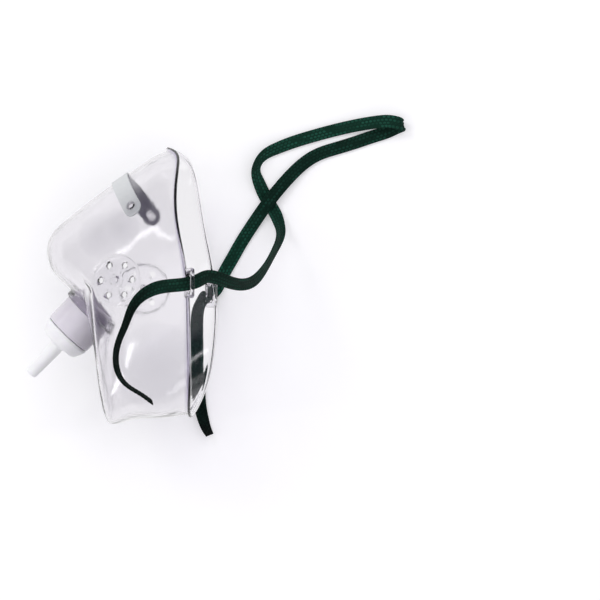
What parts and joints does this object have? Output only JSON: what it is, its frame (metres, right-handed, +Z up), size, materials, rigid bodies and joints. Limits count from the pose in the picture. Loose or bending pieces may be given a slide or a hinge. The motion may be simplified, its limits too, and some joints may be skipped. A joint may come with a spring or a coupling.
{
  "type": "oxygen face mask",
  "caption": "Clear soft oxygen mask lying on one cheek: moulded shell with vents and lugs, nose clip, sleeve and cap with tapered nipple, and a flat elastic head strap.",
  "frame": {"origin": "on the table under the middle of the part as it lies on one cheek, at the bottom centre of its box", "axes": "+Z up from the table, out of the mask's upper cheek; -X the way the nose points, tilted a little down; +Y up the face, from chin to bridge of nose"},
  "size_m": [0.1676, 0.144, 0.0865],
  "materials": {
    "shell": "clear soft PVC, glossy, with a faint violet tint in its thick edges",
    "clip": "rolled, satin",
    "collar": "translucent lilac PVC, glossy",
    "fitting": "milky white plastic, satin",
    "strap": "woven elastic, matt, with fine cross ribs"
  },
  "bodies": {
    "root": {"mask_shell": "shell", "nose_clip": "clip", "connector_collar": "collar", "nipple_fitting": "fitting", "head_strap": "strap"}
  },
  "joints": []
}
